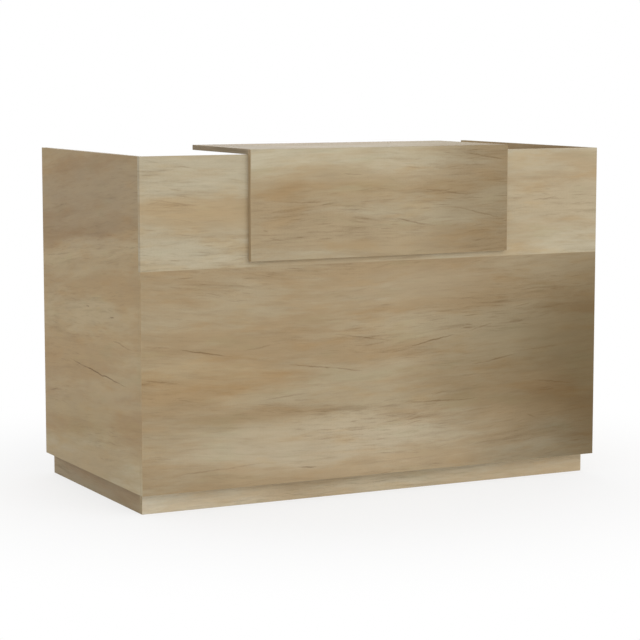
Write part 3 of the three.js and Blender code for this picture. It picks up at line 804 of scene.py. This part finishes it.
sleeve_profile = [
    (SLEEVE_INNER, -SLEEVE_DEPTH), (SLEEVE_OUTER, -SLEEVE_DEPTH), (SLEEVE_OUTER, FLANGE_SEAT),
    (FLANGE_RADIUS, FLANGE_SEAT), (FLANGE_RADIUS, FLANGE_HEIGHT), (CAP_SEAT, FLANGE_HEIGHT),
    (CAP_SEAT, LEDGE), (SLEEVE_INNER, LEDGE),
]
slot_angles = [math.pi * k / CABLE_SLOT_STEPS for k in range(CABLE_SLOT_STEPS + 1)]
slot_end = [(CABLE_SLOT_HALF * math.cos(a), CABLE_SLOT_CENTRE - CABLE_SLOT_HALF * math.sin(a))
            for a in slot_angles]
plate_outline = open_arc(PLATE_RADIUS) + slot_end
skirt_outline = open_arc(SKIRT_OUTER) + open_arc(SKIRT_INNER)[::-1]
for side, sign in (("left", -1), ("right", 1)):
    place = (sign * grommet_x, grommet_y, worktop_top)
    form = bmesh.new()
    turned(form, softened(sleeve_profile, SLEEVE_EASE, True), place, CAP_STEPS, True)
    keep(shaped(form, f"sleeve_{side}", grommet_plastic), "desk",
         f"grommet_sleeve_{side}")
    form = bmesh.new()
    cut_plate(form, [plate_outline], PLATE_BOTTOM, FLANGE_HEIGHT, PLATE_EASE)
    cut_plate(form, [skirt_outline], SKIRT_BOTTOM, SKIRT_TOP, SKIRT_EASE)
    bmesh.ops.translate(form, vec=place, verts=form.verts)
    keep(shaped(form, f"cap_{side}_disc", grommet_plastic), f"cap_{side}",
         f"grommet_cap_{side}")

# Counter supports: two upright laminated boards on the worktop that carry the counter top.
# Two beech dowels in the foot and two in the head of each hold it in place.
support_print = oak_print("support oak", (1, 2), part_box("counter_support_left"), 57.0)
support_band = oak_band("support edge band", 2, 7.0, BAND_COLOR)
for side in ("left", "right"):
    board(f"{side}_support", f"counter_support_{side}", support_print, support_band)
    for end in ("foot", "head"):
        for number in (1, 2):
            fluted_dowel(f"support_{end}_dowel_{side}_{number}")

# Raised counter: a top board on the front panel and the supports, and a board that hangs before it.
# The front board's print runs over its rounded upper edge, which covers the top board's edge.
# Four countersunk screws from the staff side hold the front board.
COUNTER_ROUND, COUNTER_EASE = 0.004, 0.0007
# The top print's tone, and its darker patch on the left, are painted shade on the top face.
top_print = oak_print(
    "counter top oak with painted shade", (0, 1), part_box("counter_top"), 61.0, tone=(0.88, 0.88, 0.87),
    blots=[((-0.45, -0.3), (0.22, 0.5), (0.86, 0.87, 0.9))])
top_band = oak_band("counter top edge band", 1, 8.0, (174, 158, 131))
board("counter_top_board", "counter_top", top_print, top_band)
front_blots = [
    ((0.6, 0.9), (0.55, 0.5), (0.75, 0.72, 0.67)),
    ((-0.3, 1.06), (0.6, 0.09), (1.2, 1.28, 1.38)),
    ((0.2, 1.005), (0.35, 0.05), (1.08, 1.12, 1.18)),
    ((-0.05, 0.955), (0.6, 0.035), (0.98, 0.94, 0.88)),
    ((-0.1, 0.8), (0.7, 0.1), (1.03, 1.06, 1.1)),
]
front_splits = [
    ((-0.34, 0.924), (-0.19, 0.922), 0.4), ((-0.25, 0.869), (-0.19, 0.869), 0.35),
    ((0.30, 1.063), (0.44, 1.041), 0.7), ((0.04, 0.867), (0.19, 0.836), 0.55),
    ((0.25, 0.897), (0.42, 0.856), 0.4), ((0.12, 0.958), (0.32, 0.930), 0.35),
    ((-0.14, 1.007), (-0.07, 1.001), 0.35), ((-0.41, 0.841), (-0.39, 0.837), 0.5),
]
low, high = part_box("counter_front")
counter_print = oak_print(
    "counter front oak", (0, 2), (low, high), 64.0, tone=(0.905, 0.905, 0.905),
    blots=front_blots, splits=front_splits)
counter_band = oak_band("counter edge band", 2, 6.0, (186, 164, 130))
form = square_block(low, high)
nose = [edge for edge in form.edges
        if all(end.co.y < low.y + 1e-6 and end.co.z > high.z - 1e-6 for end in edge.verts)]
round_edges(form, nose, COUNTER_ROUND, 6)
round_edges(form, sharp_edges(form), COUNTER_EASE, 2)
form.normal_update()
for polygon in form.faces:
    banded = abs(polygon.normal.x) > 0.3 or polygon.normal.z < -0.3
    polygon.material_index = 1 if banded else 0
keep(shaped(form, "counter_front_board", counter_print, counter_band), "desk",
     "counter_front")
SCREW_PROUD, SCREW_CONE_TOP, SCREW_CONE_FOOT = 0.0002, -0.0008, -0.0026
SCREW_TIP, SCREW_OUTER, SCREW_CORE, SCREW_PITCH = 0.004, 0.002, 0.0014, 0.0018
SCREW_LAP = 0.0002
screw_steel = plated_steel("screw zinc", 18.0)
for number in range(1, 5):
    node = f"counter_front_screw_{number}"
    low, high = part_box(node)
    x, z, head = (low.x + high.x) / 2, (low.z + high.z) / 2, (high.x - low.x) / 2
    point = low.y - high.y
    cone = [(0, SCREW_CONE_FOOT), (head * 0.5, SCREW_CONE_FOOT), (head * 0.97, SCREW_CONE_TOP),
            (0, SCREW_CONE_TOP)]
    tip_top = point + SCREW_TIP + SCREW_LAP
    form = screw_head(head, SCREW_PROUD)
    turned(form, cone, (0, 0, 0), 32)
    threaded(form, (0, 0), point + SCREW_TIP, SCREW_CONE_FOOT + SCREW_LAP,
             SCREW_OUTER, SCREW_CORE, SCREW_PITCH, 16)
    turned(form, [(0, point), (SCREW_CORE, tip_top), (0, tip_top)], (0, 0, 0), 16)
    staff_side = Matrix.Translation((x, high.y, z)) @ toward_y
    bmesh.ops.transform(form, matrix=staff_side, verts=form.verts)
    keep(shaped(form, f"screw_{number}", screw_steel), "desk", node)

# Studio: a plain pale floor that fades to white, and soft light from all round.
# A broad lamp before the desk and a weaker one behind it give the long sides a little more light.
FLOOR_RADIUS, FLOOR_PALE, FLOOR_ROUGH = 30.0, (0.93, 0.93, 0.93, 1.0), 0.9
WHITE, AMBIENT, FLOOR_WHITE = (1.0, 1.0, 1.0, 1.0), 0.72, 0.72
FADE_START, FADE_END = 0.7, 1.8
LAMP_WIDTH, LAMP_HEIGHT, LAMP_AIM = 4.0, 3.0, Vector((0, 0, 0.5))
FOCAL_PIXELS, IMAGE_PIXELS, SENSOR = 2134.4, 640, 36.0
CAMERA_PLACE, CAMERA_TILT, CAMERA_TURN = (-3.1590, -6.1882, 1.3196), 90 - 6.676, -27.039
scene = bpy.context.scene


def placed(name, data):
    """A new object of the studio."""
    made = bpy.data.objects.new(name, data)
    scene.collection.objects.link(made)
    return made


def seen_rays(pen):
    """1 for the rays that see the background, in the camera, in gloss or through glass."""
    rays = pen.node("ShaderNodeLightPath", {}, {}).outputs()
    return rays["Is Camera Ray"].most(rays["Is Glossy Ray"]).most(rays["Is Transmission Ray"])


floor_form = bmesh.new()
bmesh.ops.create_circle(floor_form, cap_ends=True, segments=96, radius=FLOOR_RADIUS)
floor_mesh = bpy.data.meshes.new("floor")
floor_form.to_mesh(floor_mesh)
floor_form.free()
floor = placed("floor", floor_mesh)
floor_finish, floor_shader, pen = new_finish("pale floor")
floor_mesh.materials.append(floor_finish)
floor_shader.inputs["Base Color"].default_value = FLOOR_PALE
floor_shader.inputs["Roughness"].default_value = FLOOR_ROUGH
floor_shader.inputs["Specular IOR Level"].default_value = 0.0
x, y, _ = pen.parts()
away = (x * x + y * y) ** 0.5
fade = seen_rays(pen) * (FLOOR_WHITE + (1 - FLOOR_WHITE) * away.eased(FADE_START, FADE_END))
white = pen.node("ShaderNodeEmission", {}, {"Color": WHITE, "Strength": 1.0})
blend = pen.node("ShaderNodeMixShader", {},
                 {0: fade, 1: Shade(pen.tree, floor_shader.outputs[0]), 2: white})
pen.tree.links.new(blend.socket, pen.tree.nodes["Material Output"].inputs["Surface"])

world = bpy.data.worlds.new("studio")
scene.world = world
world.use_nodes = True
background = world.node_tree.nodes["Background"]
background.inputs["Color"].default_value = WHITE
strength = AMBIENT + seen_rays(Shade(world.node_tree)) * (1 - AMBIENT)
world.node_tree.links.new(strength.socket, background.inputs["Strength"])

for name, power, place in (("front lamp", 75.0, (1.2, -4.5, 2.8)),
                           ("back lamp", 55.0, (0.9, 4.5, 2.8))):
    lamp_data = bpy.data.lights.new(name, "AREA")
    lamp_data.shape = "RECTANGLE"
    lamp_data.size, lamp_data.size_y = LAMP_WIDTH, LAMP_HEIGHT
    lamp_data.energy = power
    lamp = placed(name, lamp_data)
    lamp.location = place
    lamp.rotation_euler = (LAMP_AIM - lamp.location).to_track_quat("-Z", "Y").to_euler()

camera_data = bpy.data.cameras.new("camera")
camera_data.sensor_width = SENSOR
camera_data.lens = FOCAL_PIXELS * SENSOR / IMAGE_PIXELS
camera = placed("camera", camera_data)
camera.location = CAMERA_PLACE
camera.rotation_euler = (math.radians(CAMERA_TILT), 0.0, math.radians(CAMERA_TURN))
scene.camera = camera
scene.view_settings.view_transform = "Standard"
